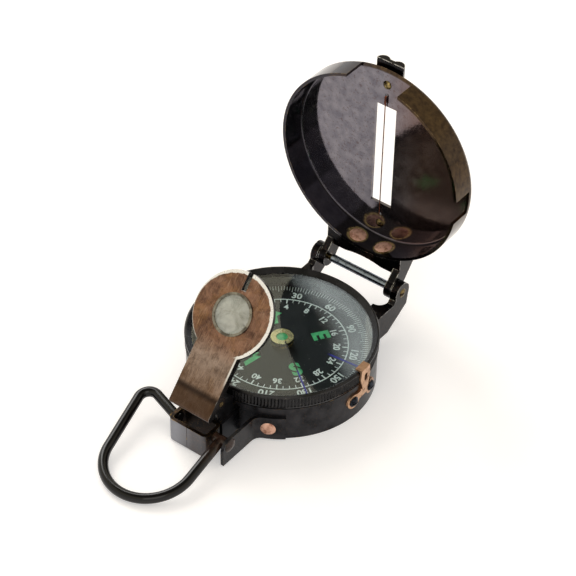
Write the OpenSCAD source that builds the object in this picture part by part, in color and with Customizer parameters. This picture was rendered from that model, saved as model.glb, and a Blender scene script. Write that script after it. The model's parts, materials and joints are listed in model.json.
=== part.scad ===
// Pocket lensatic compass: a round case with a turning bezel, a floating card,
// a hinged lid with a sighting wire, a folding lens bracket and a thumb ring.
// +Y points along the line of sight, from the thumb ring towards the lid hinge.
// The origin is the centre of the case's flat underside.

/* [Case] */
// Outer diameter of the case wall
case_d = 53.2; // [50:0.2:58]
// Height of the case wall up to the shoulder under the bezel
case_h = 10.8; // [10.2:0.1:13]
// Thickness of the case wall
case_wall = 1.9; // [1.6:0.1:2.4]
// Thickness of the case floor
floor_t = 1.6; // [1:0.1:2]
// Height of the spigot that the bezel turns on
spigot_h = 1.8; // [1.7:0.05:1.95]
// Thickness of the spigot wall
spigot_wall = 0.74; // [0.7:0.02:1]

/* [Bezel] */
// Amount by which the bezel stands out from the case wall
bezel_overhang = 0.4; // [0.2:0.1:1]
// Height of the bezel ring
bezel_h = 4.5; // [4.4:0.1:6]
// Gap between the bezel and the case shoulder
bezel_gap = 0.3; // [0.2:0.05:0.5]
// Height of the smooth rim above the knurled band
bezel_rim_h = 0.7; // [0.5:0.1:1.2]
// Number of ridges in the knurled band
knurl_count = 180; // [90:10:220]
// Depth of the knurled band's grooves
knurl_depth = 0.3; // [0.15:0.05:0.5]
// Thickness of the window glass
glass_t = 1.1; // [0.8:0.1:1.2]
// Depth of the glass below the top of the bezel
glass_drop = 1.2; // [1:0.1:1.3]
// Width of the lip that covers the edge of the glass
glass_lip = 0.3; // [0.25:0.05:1]
// Thickness of the ring that holds the glass from below
seat_ring_t = 0.5; // [0.3:0.1:0.6]

/* [Card] */
// Gap between the edge of the floating card and the case wall
card_gap = 0.5; // [0.3:0.1:2]
// Thickness of the card
card_t = 0.4; // [0.3:0.05:0.8]
// Height of the card's upper face above the table
card_top = 9.9; // [9.3:0.1:10.2]
// Direction of the card's north point, anticlockwise from the line of sight
card_turn = 55.5; // [0:0.5:359]
// Radius of the white circle that carries the inner scale
scale_r = 18.4; // [16:0.1:20]
// Number of strokes on the inner scale
scale_count = 64; // [32:32:128]
// Thickness of the printed marks
print_t = 0.06; // [0.04:0.01:0.1]
// Distance of the card letters from the centre
letter_r = 11; // [9:0.1:13]
// Height of the card letters
letter_h = 5.2; // [4:0.1:6]
// Stroke width of the card letters
letter_stroke = 1.1; // [0.8:0.1:1.5]
// Diameter of the brass cap over the pivot
hub_d = 6.4; // [5.6:0.1:7]
// Height of the brass cap
hub_h = 2.6; // [2.3:0.1:2.9]
// Length of the bar magnet under the card
magnet_l = 28; // [20:1:36]
// Width of the bar magnet
magnet_w = 4; // [3:0.5:6]
// Thickness of the bar magnet
magnet_t = 1; // [0.6:0.1:1.2]

/* [Lid] */
// Outer diameter of the lid
lid_d = 59; // [58:0.2:62]
// Height of the lid wall
lid_h = 8.4; // [8:0.1:10]
// Thickness of the lid's sheet metal
lid_t = 0.9; // [0.6:0.1:1.2]
// Radius of the lid's outer edge
lid_round = 1.6; // [1:0.1:2.4]
// Height of the closed lid's rim above the table
lid_rim_z = 14; // [13:0.1:15]
// Angle of the lid from closed, as modelled
lid_open = 90; // [80:1:130]
// Width of the sighting slot
slot_w = 6.9; // [5:0.1:9]
// Length of the sighting slot
slot_l = 34; // [28:1:38]
// Width of the notch in the lid wall for the lens bracket
lens_notch_w = 16.7; // [16.7:0.1:18]
// Width of the notch in the lid wall for the bezel spring
spring_notch_w = 7.6; // [6:0.1:10]
// Depth of the notch for the bezel spring
spring_notch_h = 6.2; // [4:0.1:6.6]
// Diameter of the sighting wire
wire_d = 0.4; // [0.2:0.05:0.6]
// Width of the lug on the front of the lid
catch_w = 8.8; // [6:0.1:12]
// Height of the lug above the lid
catch_h = 2; // [1.5:0.1:2.4]

/* [Lid hinge] */
// Distance of the lid hinge from the case wall
hinge_out = 9.6; // [9:0.1:12]
// Height of the lid hinge above the table
hinge_z = 12.4; // [12:0.1:13.5]
// Diameter of the hinge pin
pin_d = 1.8; // [1.4:0.1:2.2]
// Thickness of the hinge ears
ear_t = 2.2; // [1.5:0.1:2.5]
// Radius of the round ends of the hinge ears
ear_r = 3.2; // [2.6:0.1:3.6]
// Distance between the lid's two ears
lid_ear_gap = 21; // [17:0.1:22]

/* [Lens bracket] */
// Distance of the lens bracket hinge from the case wall
lens_hinge_out = 7.2; // [7:0.1:8.4]
// Height of the lens bracket hinge above the table
lens_hinge_z = 16; // [15.6:0.1:16.4]
// Angle of the lens bracket from folded, as modelled
lens_open = 48; // [30:1:55]
// Distance from the hinge to the centre of the lens
lens_reach = 22.9; // [20:0.1:24]
// Diameter of the round head
head_d = 24.2; // [20:0.1:26]
// Width of the neck
neck_w = 13.5; // [12.6:0.1:13.6]
// Depth of the flanges along the neck
flange_h = 1; // [0.5:0.1:1.1]
// Thickness of the lens plate
plate_t = 1.3; // [0.9:0.1:1.4]
// Gap between the hinge line and the plate's underside
plate_lift = 1.4; // [1.3:0.1:1.6]
// Length of the plate beyond the hinge
tail_l = 4.7; // [3:0.1:5]
// Diameter of the lens
lens_d = 11.2; // [8:0.1:12]
// Width of the sighting notch in the head
head_notch_w = 1.5; // [1:0.1:2]
// Depth of the sighting notch in the head
head_notch_l = 5.2; // [4:0.1:5.6]

/* [Front bracket] */
// Sideways place of the front bracket and the lens plate
front_shift = -1.1; // [-1.2:0.1:0]
// Width of the strap loop
loop_w = 13.4; // [13:0.1:13.6]
// Distance of the loop's front face from the case wall
loop_out = 13.6; // [13:0.1:16]
// Distance of the loop's rear face from the case wall
loop_rear_out = 6.7; // [6.4:0.1:6.8]
// Height of the loop and of the ring strap
bracket_h = 7.6; // [7.4:0.1:8.4]
// Height of the bracket's lower edge above the table
bracket_z = 0.5; // [0.3:0.1:1]
// Thickness of the bracket's strip metal
strip_t = 1; // [0.8:0.1:1.1]
// Distance of the strap's front end from the case wall
strap_out = 12.8; // [12.4:0.1:14]
// Angle on the case where the strap ends, from the front
strap_end = 40; // [38:1:50]
// Angle on the case where the strap's rivet sits, from the front
strap_rivet_at = 30; // [29:0.5:32]

/* [Thumb ring] */
// Distance of the ring's pivots from the case wall
ring_out = 9.9; // [9.7:0.1:10.2]
// Height of the ring's pivots above the table
ring_z = 6; // [5.4:0.1:6.2]
// Diameter of the ring's wire
ring_wire_d = 2.9; // [2:0.1:2.9]
// Radius of the ring's round front
bow_r = 12.7; // [11:0.1:14]
// Distance from the pivots to the centre of the round front
bow_l = 15.5; // [13.5:0.1:20]
// Sideways place of the centre of the round front
bow_x = -4; // [-5:0.1:-3]
// Distance of the ring's left-hand corner from the centre line
corner_x = 21.5; // [18:0.1:24]
// Distance of the ring's left-hand corner behind the pivots
corner_back = 4.2; // [3:0.1:4.2]

/* [Bezel spring] */
// Angle of the bezel spring on the case, from the right-hand side
spring_at = 2.5; // [-10:0.5:10]
// Thickness of the spring's copper sheet
spring_t = 0.55; // [0.4:0.05:0.7]
// Distance between the spring's two screws
spring_pitch = 8; // [7:0.1:10]
// Height of the screws above the table
spring_screw_z = 6.4; // [5:0.1:7]

/* [Hidden] */
$fn = 96;

eps = 0.01;         // overlap that keeps cuts clean
running = 0.05;     // radial clearance of a turning fit
side_play = 0.2;    // clearance between faces that slide past each other

// Case and bezel, from the centre outwards and from the table upwards
case_r = case_d / 2;
case_in_r = case_r - case_wall;
spigot_r = case_in_r + spigot_wall;
spigot_top = case_h + spigot_h;
bezel_r = case_r + bezel_overhang;
bezel_z = case_h + bezel_gap;
bezel_top = bezel_z + bezel_h;
bezel_bore_r = spigot_r + running;
glass_top = bezel_top - glass_drop;
glass_z = glass_top - glass_t;
glass_r = spigot_r - 0.1;
window_r = glass_r - glass_lip;
seat_z = glass_z - seat_ring_t;
snap_h = 0.5;
snap_z = case_h + 1.05;
snap_in_r = spigot_r - 0.34;
snap_out_r = spigot_r + 0.46;
knurl_r = bezel_r - 0.1;
knurl_root_r = bezel_r - 0.6;
knurl_z = bezel_z + 0.6;
knurl_top = bezel_top - bezel_rim_h;
line_t = 0.08;
long_line_w = 0.45;
long_line_from = 3;
short_line_w = 0.6;
short_line_from = 13.7;
line_end_gap = 0.8;

// Card
card_r = case_in_r - card_gap;
card_z = card_top - card_t;
card_hole_r = 1.6;
cap_top = card_top + hub_h;
pivot_tip_z = card_top + 1.05;
jewel_r = 1.1;
jewel_h = 0.9;
jewel_z = card_top + 0.7;
dot_r = 1.6;
dot_sink = 0.3;

// Lid, in its closed place
lid_r = lid_d / 2;
lid_top = lid_rim_z + lid_h;
lid_ceiling = lid_top - lid_t;
wire_pin_in = 5.4;
wire_pin_y = lid_r - wire_pin_in;
wire_hole_in = 3.3;
wire_hole_y = wire_pin_y - wire_hole_in;
wire_hole_r = wire_d + 0.05;
wire_z = lid_ceiling - wire_d;
wire_twist_l = 3;
wire_pin_r = 0.7;
wire_pin_head_r = 1.35;
wire_pin_head_h = 0.8;
lid_rivet_x = 4.6;
lid_rivet_up = 3.4;
lid_rivet_z = lid_rim_z + lid_rivet_up;
lid_rivet_r = 2.5;
lid_strap_t = 1.2;
strap_r = lid_r + lid_strap_t;
strap_z = lid_rim_z;
strap_web_w = 3;
strap_web_t = 0.8;

// Rivets: the shank, the low heads and how far a head sinks into a curved wall
rivet_shank_r = 1.4;
rivet_head_r = 2.1;
rivet_head_h = 0.6;
rivet_bed = 0.12;

// Lid hinge
hinge_y = case_r + hinge_out;
pin_r = pin_d / 2;
pin_head_r = pin_r + 0.5;
spacer_r = pin_r + 0.35;
collar_w = 1.1;
lid_ear_x = lid_ear_gap / 2;
body_ear_x = lid_ear_x + ear_t + 0.3;
body_ear_end = body_ear_x + ear_t;
pin_end_x = body_ear_end + 0.5;
back_strap_t = 1.2;
back_strap_r = case_r + back_strap_t;
back_strap_z = 2;
back_strap_top = case_h - 0.4;
back_rivet_at = 12;
back_rivet_up = 4;
back_rivet_z = back_strap_z + back_rivet_up;
ear_web_in = 4;
ear_web_r = hinge_y - ear_web_in;
ear_web_t = 1.2;
ear_bend_r = 3;

// Bezel spring
spring_angle = asin(spring_pitch / 2 / case_r);
screw_r = 0.8;
screw_head_r = 1.6;
screw_head_h = 0.8;
screw_slot_w = 0.4;
screw_slot_h = 0.45;
spring_eye_r = 2.3;
spring_foot_z = case_h - 1.6;
spring_step_h = 1.4;
spring_neck_w = 2.4;
spring_wide_w = 4.6;
spring_tip_w = 3.8;
spring_tip_l = 1.5;
spring_hole_r = 0.65;

// Lens bracket, in its folded place
lens_hinge_y = case_r + lens_hinge_out;
plate_z = lens_hinge_z + plate_lift;
flange_t = 0.9;
block_w = neck_w - 2 * flange_t - 2 * side_play;
hinge_gap = 0.15;
knuckle_r = plate_lift - hinge_gap;
lens_pin_r = 0.75;
lens_head_y = lens_reach - lens_hinge_y;
cheek_r = 2;
lip_r = plate_t * 0.75;
cell_w = 0.7;
cell_h = 0.4;
lens_crown = 0.35;

// Front bracket
loop_y = case_r + loop_out;
loop_rear_y = case_r + loop_rear_out;
loop_half_w = loop_w / 2;
loop_round = 1.8;
loop_seam_w = 0.12;
strap_y = case_r + strap_out;
strap_rivet_up = 3.7;
strap_rivet_z = bracket_z + strap_rivet_up;
strap_bend_r = 3;
strap_nose_r = 2.9;

// Thumb ring, as seen from above with its pivots on the X axis and its round front towards -Y. The right-hand
// leg runs between the loop and the strap; the left-hand leg turns a corner and runs in to the loop.
ring_y = case_r + ring_out;
ring_wire_r = ring_wire_d / 2;
ring_side_gap = 0.6;
ring_stub_l = strip_t + 0.5;
ring_right = [front_shift + loop_half_w + ring_side_gap + ring_wire_r, 0];
ring_left = [front_shift - loop_half_w - ring_side_gap, 0];
ring_left_end = [front_shift - loop_half_w + ring_stub_l, 0];
ring_corner = [-corner_x, corner_back];
ring_bend_r = 3;
bow = [bow_x, -bow_l];
bow_right = tangent_point(ring_right, bow, bow_r, 1);
bow_left = tangent_point(ring_corner, bow, bow_r, -1);
ring_slope = asin((ring_z - ring_wire_r) / (bow_l + bow_r));
ring_head_r = 2;
ring_head_h = 0.6;
leg_lean = 0.75;
strap_arm_x = ring_right[0] + ring_wire_r + leg_lean;
strap_arm_end_x = strap_arm_x + strip_t;

// Colours
patina = [0.13, 0.13, 0.14];
bronze = [0.36, 0.25, 0.17];
brass = [0.75, 0.6, 0.3];
copper = [0.85, 0.55, 0.42];
steel = [0.45, 0.47, 0.5];
lume = [0.2, 0.6, 0.35];

// Shared shapes

// A flat ring
module ring(r_out, r_in, h) {
    difference() {
        cylinder(r = r_out, h = h);
        translate([0, 0, -eps]) cylinder(r = r_in, h = h + 2 * eps);
    }
}

// A low dome standing on z = 0
module dome(r, h) {
    ball_r = (r * r + h * h) / (2 * h);
    intersection() {
        translate([0, 0, h - ball_r]) sphere(r = ball_r);
        cylinder(r = r, h = h);
    }
}

// Lays a child that points along +Z out along the radius at an angle from +X, at a height
module radial(angle, z) {
    rotate([0, 0, angle]) translate([0, 0, z]) rotate([0, 90, 0]) children();
}

// A rivet through a wall between two radii, with a low dome on each side
module radial_rivet(angle, z, r_in, r_out, inner_head_r) {
    radial(angle, z) {
        translate([0, 0, r_in]) cylinder(r = rivet_shank_r, h = r_out - r_in);
        translate([0, 0, r_out]) dome(rivet_head_r, rivet_head_h);
        translate([0, 0, r_in]) mirror([0, 0, 1]) dome(inner_head_r, rivet_head_h);
    }
}

// A curved strip in the plane between two angles from +X
module arc_strip(r_out, r_in, from, to) {
    reach = 2 * r_out;
    mid = (from + to) / 2;
    difference() {
        intersection() {
            circle(r = r_out);
            polygon([[0, 0], reach * [cos(from), sin(from)], reach * [cos(mid), sin(mid)],
                reach * [cos(to), sin(to)]]);
        }
        circle(r = r_in);
    }
}

// Moves a piece of the lid from its closed place to its modelled place
module lid_pose() {
    translate([0, hinge_y, hinge_z]) rotate([-lid_open, 0, 0]) translate([0, -hinge_y, -hinge_z]) children();
}

// Moves a piece of the lens bracket from its folded place to its modelled place
module lens_pose() {
    translate([front_shift, -lens_hinge_y, lens_hinge_z]) rotate([lens_open, 0, 0])
        translate([0, lens_hinge_y, -lens_hinge_z]) children();
}

// A plate that stands in the YZ plane, from x to x + t, made from a side view
module upright(x, t) {
    translate([x, 0, 0]) rotate([90, 0, 90]) linear_extrude(height = t) children();
}

// A cylinder along X
module crosswise(r, x_from, x_to) {
    translate([x_from, 0, 0]) rotate([0, 90, 0]) cylinder(r = r, h = x_to - x_from);
}

// Case

module case_cup() {
    difference() {
        union() {
            cylinder(r = case_r, h = case_h);
            cylinder(r = spigot_r, h = spigot_top);
        }
        translate([0, 0, floor_t]) cylinder(r = case_in_r, h = spigot_top);
        translate([0, 0, snap_z]) ring(spigot_r + 1, snap_in_r, snap_h);
        radial(-90 + strap_rivet_at, strap_rivet_z) cylinder(r = rivet_shank_r, h = case_d);
        for (side = [-1, 1]) {
            radial(90 + side * back_rivet_at, back_rivet_z) cylinder(r = rivet_shank_r, h = case_d);
            radial(spring_at + side * spring_angle, spring_screw_z) cylinder(r = screw_r, h = case_d);
        }
    }
}

module case() {
    color(patina) case_cup();
}

module bezel_snap_ring() {
    color(steel) translate([0, 0, snap_z]) difference() {
        ring(snap_out_r, snap_in_r, snap_h);
        translate([-1, 0, -eps]) cube([2, case_d, snap_h + 2 * eps]);
    }
}

module pivot_post() {
    foot_r = 2;
    foot_h = 1;
    post_r = 1.1;
    point_r = 0.08;
    cone_h = 3;
    cone_z = pivot_tip_z - running - cone_h;
    color(brass) translate([0, 0, floor_t]) {
        cylinder(r = foot_r, h = foot_h);
        cylinder(r = post_r, h = cone_z - floor_t);
        translate([0, 0, cone_z - floor_t]) cylinder(r1 = post_r, r2 = point_r, h = cone_h);
    }
}

// Lid hinge on the case

// Side view of one ear: it leans out from the case, then stands up to a round eye
module body_ear_side() {
    ear_foot = case_r * 0.8;
    knee_z = (back_strap_z + hinge_z) / 2;
    difference() {
        union() {
            translate([hinge_y, hinge_z]) circle(r = ear_r);
            polygon([[ear_foot, back_strap_z], [case_r + 3, back_strap_z], [hinge_y + ear_r * 0.7, knee_z],
                [hinge_y + ear_r, hinge_z], [hinge_y - ear_r, hinge_z], [hinge_y - ear_r, back_strap_top + 1],
                [hinge_y - ear_r - 1, back_strap_top], [ear_foot, back_strap_top]]);
        }
        translate([hinge_y, hinge_z]) circle(r = pin_r);
    }
}

// Plan view of the web that stiffens an ear where it leaves the strap: a corner with a round hollow
module ear_web_plan() {
    difference() {
        translate([body_ear_x - ear_bend_r, case_r])
            square([ear_bend_r + ear_t / 2, ear_web_r - case_r]);
        translate([body_ear_x - ear_bend_r, ear_web_r]) circle(r = ear_bend_r);
    }
}

module hinge_bracket() {
    ear_angle = asin((body_ear_x + ear_t / 2) / back_strap_r);
    color(patina) difference() {
        union() {
            translate([0, 0, back_strap_z]) linear_extrude(height = back_strap_top - back_strap_z)
                arc_strip(back_strap_r, case_r, 90 - ear_angle, 90 + ear_angle);
            for (side = [0, 1]) mirror([side, 0, 0]) {
                upright(body_ear_x, ear_t) body_ear_side();
                translate([0, 0, back_strap_top - ear_web_t])
                    linear_extrude(height = ear_web_t) ear_web_plan();
            }
        }
        translate([0, 0, -eps]) cylinder(r = case_r, h = case_h + 2 * eps);
        translate([0, 0, case_h - eps]) cylinder(r = bezel_r + side_play, h = case_h);
        for (side = [-1, 1])
            radial(90 + side * back_rivet_at, back_rivet_z) cylinder(r = rivet_shank_r, h = case_d);
    }
}

module hinge_bracket_rivets() {
    color(copper) for (side = [-1, 1])
        radial_rivet(90 + side * back_rivet_at, back_rivet_z, case_in_r - rivet_bed, back_strap_r,
            rivet_head_r);
}

module hinge_pin() {
    color(brass) translate([0, hinge_y, hinge_z]) {
        crosswise(pin_r, -body_ear_end, body_ear_end);
        for (side = [-1, 1])
            translate([side * body_ear_end, 0, 0]) rotate([0, side * 90, 0])
                dome(pin_head_r, pin_end_x - body_ear_end);
    }
}

module hinge_spacer() {
    color(steel) translate([0, hinge_y, hinge_z]) difference() {
        crosswise(spacer_r, -lid_ear_x + collar_w, lid_ear_x - running);
        crosswise(pin_r, -lid_ear_x, lid_ear_x);
    }
}

// Front bracket

// Plan view of the strap loop: a closed band of strip metal with a seam at the front
module loop_plan() {
    depth = loop_y - loop_rear_y;
    difference() {
        rounded_box(loop_w, depth, loop_round);
        rounded_box(loop_w - 2 * strip_t, depth - 2 * strip_t, loop_round - strip_t);
        translate([-loop_seam_w / 2, -depth]) square([loop_seam_w, depth / 2 + strip_t + eps]);
    }
}

// A rectangle with round corners, centred on the origin
module rounded_box(w, h, r) {
    square([w - 2 * r, h], center = true);
    square([w, h - 2 * r], center = true);
    for (x = [-1, 1], y = [-1, 1]) translate([x * (w / 2 - r), y * (h / 2 - r)]) circle(r = r);
}

module ring_pivot_hole() {
    translate([0, -ring_y, ring_z]) crosswise(ring_wire_r + running, -case_d, case_d);
}

module strap_loop() {
    color(patina) difference() {
        translate([front_shift, -(loop_y + loop_rear_y) / 2, bracket_z]) linear_extrude(height = bracket_h)
            loop_plan();
        ring_pivot_hole();
    }
}

// Plan view of the strap beside the loop: round the case, out through a bend, then straight forward
module strap_plan() {
    bend_x = strap_arm_end_x + strap_bend_r;
    bend_reach = case_r + strip_t + strap_bend_r;
    bend_y = sqrt(bend_reach * bend_reach - bend_x * bend_x);
    bend_at = acos(bend_x / bend_reach);
    overlap = 1;
    arc_strip(case_r + strip_t, case_r, -bend_at - overlap, -90 + strap_end);
    translate([bend_x, -bend_y]) arc_strip(strap_bend_r + strip_t, strap_bend_r, 180 - bend_at, 180);
    translate([strap_arm_x, -strap_y]) square([strip_t, strap_y - bend_y + eps]);
}

module ring_strap() {
    nose_z = bracket_z + bracket_h - strap_nose_r;
    color(patina) difference() {
        translate([0, 0, bracket_z]) linear_extrude(height = bracket_h) strap_plan();
        radial(-90 + strap_rivet_at, strap_rivet_z) cylinder(r = rivet_shank_r, h = case_d);
        ring_pivot_hole();
        upright(strap_arm_x - 1, strip_t + 2) difference() {
            translate([-strap_y - 1, nose_z]) square(strap_nose_r + 1);
            translate([-strap_y + strap_nose_r, nose_z]) circle(r = strap_nose_r);
        }
    }
}

module strap_rivet() {
    color(copper) radial_rivet(-90 + strap_rivet_at, strap_rivet_z, case_in_r - rivet_bed, case_r + strip_t,
        rivet_head_r);
}

// Side view of the block that carries the lens bracket's hinge
module block_side() {
    rear_y = bezel_r + 0.4;
    shoulder_z = case_h - 0.2;
    polygon([[-case_r + 1, bracket_z], [-loop_rear_y, bracket_z], [-loop_rear_y, bracket_z + bracket_h],
        [-lens_hinge_y - knuckle_r, lens_hinge_z - 2], [-lens_hinge_y - knuckle_r, lens_hinge_z],
        [-lens_hinge_y + knuckle_r, lens_hinge_z], [-rear_y, lens_hinge_z - 2.4], [-rear_y, shoulder_z],
        [-case_r + 1, shoulder_z]]);
    translate([-lens_hinge_y, lens_hinge_z]) circle(r = knuckle_r);
}

module lens_hinge_block() {
    color(patina) difference() {
        translate([front_shift, 0, 0]) union() {
            upright(-block_w / 2, block_w) block_side();
            intersection() {
                upright(-loop_half_w, loop_w) block_side();
                translate([-case_d, -case_d, 0]) cube([2 * case_d, case_d, bracket_z + bracket_h]);
            }
        }
        translate([0, 0, -eps]) cylinder(r = case_r, h = case_h);
        translate([0, -lens_hinge_y, lens_hinge_z]) crosswise(lens_pin_r, -neck_w, neck_w);
    }
}

module lens_hinge_pin() {
    end_x = neck_w / 2 + 0.1;
    color(brass) translate([front_shift, -lens_hinge_y, lens_hinge_z]) crosswise(lens_pin_r, -end_x, end_x);
}

// Bezel spring

// Front view of the spring's foot, as seen along the radius: two eyes joined by a strip
module spring_foot_view() {
    strip_h = spring_neck_w;
    for (side = [-1, 1]) translate([side * spring_pitch / 2, spring_screw_z]) circle(r = spring_eye_r);
    translate([-spring_pitch / 2, spring_screw_z - strip_h / 6]) square([spring_pitch, strip_h]);
    translate([-spring_neck_w / 2, spring_screw_z]) square([spring_neck_w, case_h - spring_screw_z]);
}

// Front view of the spring's tongue: a narrow neck, a wide part with a long hole, and the bent tip
module spring_tongue_view() {
    tip_z = bezel_top + side_play + spring_t;
    wide_z = (case_h + bezel_top) / 2;
    neck = spring_neck_w / 2;
    wide = spring_wide_w / 2;
    tip = spring_tip_w / 2;
    difference() {
        polygon([[-neck, spring_foot_z], [neck, spring_foot_z], [wide, wide_z], [tip, tip_z], [-tip, tip_z],
            [-wide, wide_z]]);
        for (z = [-1, 1]) translate([0, wide_z + z * spring_hole_r]) circle(r = spring_hole_r);
        translate([0, wide_z]) square(2 * spring_hole_r, center = true);
    }
}

module bezel_spring() {
    inner_r = bezel_r + side_play;
    outer_r = inner_r + spring_t;
    tip_z = bezel_top + side_play;
    color(copper) rotate([0, 0, spring_at]) difference() {
        union() {
            intersection() {
                ring(case_r + spring_t, case_r, bezel_top);
                upright_along_x() spring_foot_view();
            }
            intersection() {
                union() {
                    ring(outer_r, inner_r, tip_z + spring_t);
                    translate([0, 0, spring_foot_z]) ring(outer_r, case_r, spring_step_h);
                    translate([0, 0, tip_z]) ring(outer_r, bezel_r - spring_tip_l, spring_t);
                }
                upright_along_x() spring_tongue_view();
            }
        }
        for (side = [-1, 1])
            radial(side * spring_angle, spring_screw_z) cylinder(r = screw_r, h = case_d);
    }
}

// A solid along +X whose section in the YZ plane is the child
module upright_along_x() {
    rotate([90, 0, 90]) linear_extrude(height = case_d) children();
}

module spring_screws() {
    head_x = case_r + spring_t + rivet_bed;
    tail_x = case_in_r - rivet_bed;
    slot_l = 3 * screw_head_r;
    color(steel) for (side = [-1, 1]) radial(spring_at + side * spring_angle, spring_screw_z) difference() {
        union() {
            translate([0, 0, tail_x]) cylinder(r = screw_r, h = head_x - tail_x);
            translate([0, 0, head_x]) dome(screw_head_r, screw_head_h);
        }
        translate([-screw_slot_w / 2, -slot_l / 2, head_x + screw_head_h - screw_slot_h])
            cube([screw_slot_w, slot_l, screw_slot_h + eps]);
    }
}

// Bezel

function knurl_point(i) = let(r = i % 2 == 0 ? knurl_r : knurl_r - knurl_depth, a = i * 180 / knurl_count)
    [r * cos(a), r * sin(a)];

// Half section of the bezel, with its bore, the glass seat and the snap groove
module bezel_section() {
    edge = 0.35;
    lip_t = 0.15;
    foot = 0.4;
    snap_play = 0.08;
    difference() {
        polygon([[window_r, glass_top], [window_r, glass_top + lip_t], [bezel_r - 2 * edge, bezel_top],
            [bezel_r - edge, bezel_top], [bezel_r, bezel_top - edge], [bezel_r, knurl_top],
            [knurl_root_r, knurl_top], [knurl_root_r, knurl_z], [bezel_r - edge / 2, knurl_z],
            [bezel_r - foot, bezel_z],
            [bezel_bore_r, bezel_z], [bezel_bore_r, seat_z], [glass_r, seat_z], [glass_r, glass_top]]);
        translate([spigot_r - 1, snap_z - snap_play])
            square([snap_out_r + running - spigot_r + 1, snap_h + 2 * snap_play]);
    }
}

module bezel_ring() {
    color(patina) union() {
        rotate_extrude() bezel_section();
        translate([0, 0, knurl_z - eps]) linear_extrude(height = knurl_top - knurl_z + 2 * eps) difference() {
            polygon([for (i = [0 : 2 * knurl_count - 1]) knurl_point(i)]);
            circle(r = knurl_root_r - 0.2);
        }
    }
}

module window_glass() {
    color([0.8, 0.9, 0.9, 0.3]) translate([0, 0, glass_z]) cylinder(r = glass_r, h = glass_t);
}

module glass_seat_ring() {
    color(patina) translate([0, 0, seat_z]) ring(glass_r, window_r, seat_ring_t);
}

// A painted line on the underside of the window, along the radius at an angle from +X
module bearing_line(angle, from, width) {
    rotate([0, 0, angle]) translate([from, -width / 2, glass_z - line_t])
        cube([window_r - line_end_gap - from, width, line_t]);
}

module bearing_lines() {
    color([0.05, 0.05, 0.25]) {
        bearing_line(-36.5, long_line_from, long_line_w);
        bearing_line(6, short_line_from, short_line_w);
    }
}

// Card

module compass_card() {
    color([0.05, 0.05, 0.05]) translate([0, 0, card_z]) ring(card_r, card_hole_r, card_t);
}

module dial_scale() {
    circle_w = 0.3;
    stroke_l = 1.2;
    stroke_w = 0.2;
    bold_l = 1.7;
    bold_w = 0.35;
    color("white") translate([0, 0, card_top]) rotate([0, 0, 90 + card_turn]) {
        ring(scale_r + circle_w / 2, scale_r - circle_w / 2, print_t);
        for (i = [0 : scale_count - 1]) {
            bold = i % 4 == 0;
            length = bold ? bold_l : stroke_l;
            width = bold ? bold_w : stroke_w;
            rotate([0, 0, i * 360 / scale_count])
                translate([scale_r - length, -width / 2, 0]) cube([length, width, print_t]);
        }
    }
}

// Letter outlines, each centred on its place with its top along +Y
module letter_e() {
    w = letter_h * 0.7;
    translate([-w / 2, -letter_h / 2]) square([letter_stroke, letter_h]);
    for (level = [-letter_h / 2, -letter_stroke / 2, letter_h / 2 - letter_stroke])
        translate([-w / 2, level]) square([w, letter_stroke]);
}

module letter_s() {
    w = letter_h * 0.66;
    bar_y = [-letter_h / 2, -letter_stroke / 2, letter_h / 2 - letter_stroke];
    for (level = bar_y) translate([-w / 2, level]) square([w, letter_stroke]);
    translate([-w / 2, bar_y[1]]) square([letter_stroke, letter_h / 2]);
    translate([w / 2 - letter_stroke, bar_y[0]]) square([letter_stroke, letter_h / 2]);
}

module letter_w() {
    w = letter_h * 0.95;
    half = letter_h / 2;
    foot = letter_stroke / 2;
    for (side = [0, 1]) mirror([side, 0]) {
        polygon([[w / 2 - foot, half], [w / 2 + foot, half], [w / 4 + foot, -half], [w / 4 - foot, -half]]);
        polygon([[-foot, half], [foot, half], [w / 4 + foot, -half], [w / 4 - foot, -half]]);
    }
}

// The north mark is a broad arrow
module north_arrow() {
    half = letter_h / 2;
    polygon([[0, half + 1], [half, -half], [0, -half + 1.4], [-half, -half]]);
}

module card_letters() {
    color(lume) translate([0, 0, card_top]) rotate([0, 0, card_turn]) linear_extrude(height = print_t) {
        translate([0, letter_r]) north_arrow();
        rotate(-90) translate([0, letter_r]) letter_e();
        rotate(180) translate([0, letter_r]) letter_s();
        rotate(90) translate([0, letter_r]) letter_w();
    }
}

module card_magnet() {
    color(steel) rotate([0, 0, 90 + card_turn]) translate([0, 0, card_z - magnet_t]) difference() {
        translate([-magnet_l / 2, -magnet_w / 2, 0]) cube([magnet_l, magnet_w, magnet_t]);
        translate([0, 0, -eps]) cylinder(r = card_hole_r, h = magnet_t + 2 * eps);
    }
}

// The cap is two stacked discs with a groove between them, hollow below for the jewel and dished above
module pivot_cap() {
    disc_h = hub_h * 0.45;
    groove = 0.35;
    color(brass) translate([0, 0, card_top]) difference() {
        union() {
            cylinder(r = hub_d / 2, h = disc_h);
            cylinder(r = hub_d / 2 - groove, h = hub_h);
            translate([0, 0, hub_h - disc_h]) cylinder(r = hub_d / 2, h = disc_h);
        }
        translate([0, 0, -eps]) cylinder(r = card_hole_r, h = jewel_z - card_top + 2 * eps);
        translate([0, 0, jewel_z - card_top]) cylinder(r = jewel_r, h = jewel_h);
        translate([0, 0, hub_h - dot_sink]) cylinder(r = dot_r, h = 1);
    }
}

module pivot_jewel() {
    cup_r = 0.75;
    cup_tip_r = 0.15;
    color([0.7, 0.2, 0.3]) translate([0, 0, jewel_z]) difference() {
        cylinder(r = jewel_r, h = jewel_h);
        translate([0, 0, -eps]) cylinder(r1 = cup_r, r2 = cup_tip_r, h = pivot_tip_z - jewel_z);
    }
}

module cap_dot() {
    color(lume) translate([0, 0, cap_top - dot_sink]) dome(dot_r, dot_sink);
}

// Lid

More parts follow.
